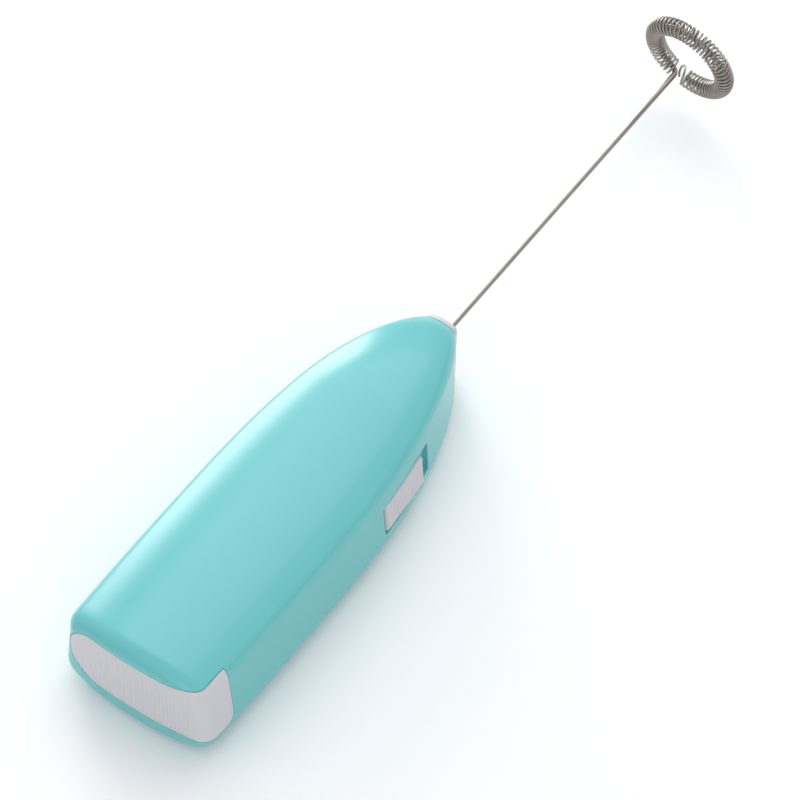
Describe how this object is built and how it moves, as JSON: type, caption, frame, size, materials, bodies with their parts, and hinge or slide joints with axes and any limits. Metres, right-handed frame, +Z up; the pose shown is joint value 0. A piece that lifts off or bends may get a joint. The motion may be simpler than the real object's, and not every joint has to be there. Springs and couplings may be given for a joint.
{
  "type": "milk frother",
  "caption": "Hand-held battery milk frother with a bullet-shaped handle, a side slide switch, a lift-off end cap and a long shaft that ends in a spring coil ring.",
  "frame": {"origin": "centre of the flat strip on the underside of the handle, where it rests on a table", "axes": "+X runs along the whisk shaft from the end cap to the coil ring, +Z is up, away from the table; the slide switch is on the -Y side"},
  "size_m": [0.2078, 0.0368, 0.0311],
  "materials": {
    "turquoise_abs": "satin gloss",
    "pale_grey_abs": "satin",
    "white_chassis_abs": "moulded",
    "stainless_wire": "drawn",
    "nickel_plate": "plated",
    "enamelled_copper": "enamelled",
    "brass": "plain",
    "core_steel": "stamped sheet",
    "ferrite": "matt",
    "cell_jacket": "printed film",
    "red_lead": "flexible",
    "black_lead": "flexible"
  },
  "bodies": {
    "handle": {"handle_sleeve": "turquoise_abs", "nose_collar": "pale_grey_abs", "chassis": "white_chassis_abs", "cell_1": "cell_jacket", "cell_2": "cell_jacket", "positive_plate": "nickel_plate", "negative_plate": "nickel_plate", "negative_spring": "nickel_plate", "motor_can": "nickel_plate", "motor_end_bell": "ferrite", "front_bushing": "brass", "rear_bushing": "brass", "magnet_1": "ferrite", "magnet_2": "ferrite", "brush_1": "brass", "brush_2": "brass", "switch_contact_1": "brass", "switch_contact_2": "brass", "battery_lead": "red_lead", "switch_lead": "black_lead", "motor_lead": "black_lead"},
    "rotor": {"armature_core": "core_steel", "winding_1": "enamelled_copper", "winding_2": "enamelled_copper", "winding_3": "enamelled_copper", "commutator": "enamelled_copper", "motor_shaft": "stainless_wire", "shaft_coupling": "brass", "whisk_wire": "stainless_wire", "whisk_coil": "stainless_wire"},
    "switch": {"switch_button": "pale_grey_abs", "switch_wiper": "brass"},
    "cap": {"end_cap": "pale_grey_abs", "bridge_plate": "nickel_plate", "bridge_spring": "nickel_plate"}
  },
  "joints": [
    {"name": "whisk_spin", "type": "hinge", "parent": "handle", "child": "rotor", "pos_m": [0.0098, 0, 0.0109], "axis": [1, 0, 0], "continuous": true},
    {"name": "switch_slide", "type": "slide", "parent": "handle", "child": "switch", "axis": [0.9917, 0.1284, 0], "range_m": [0, 0.0022]},
    {"name": "cap_slide", "type": "slide", "parent": "handle", "child": "cap", "axis": [-1, 0, 0], "range_m": [0, 0.03]}
  ]
}
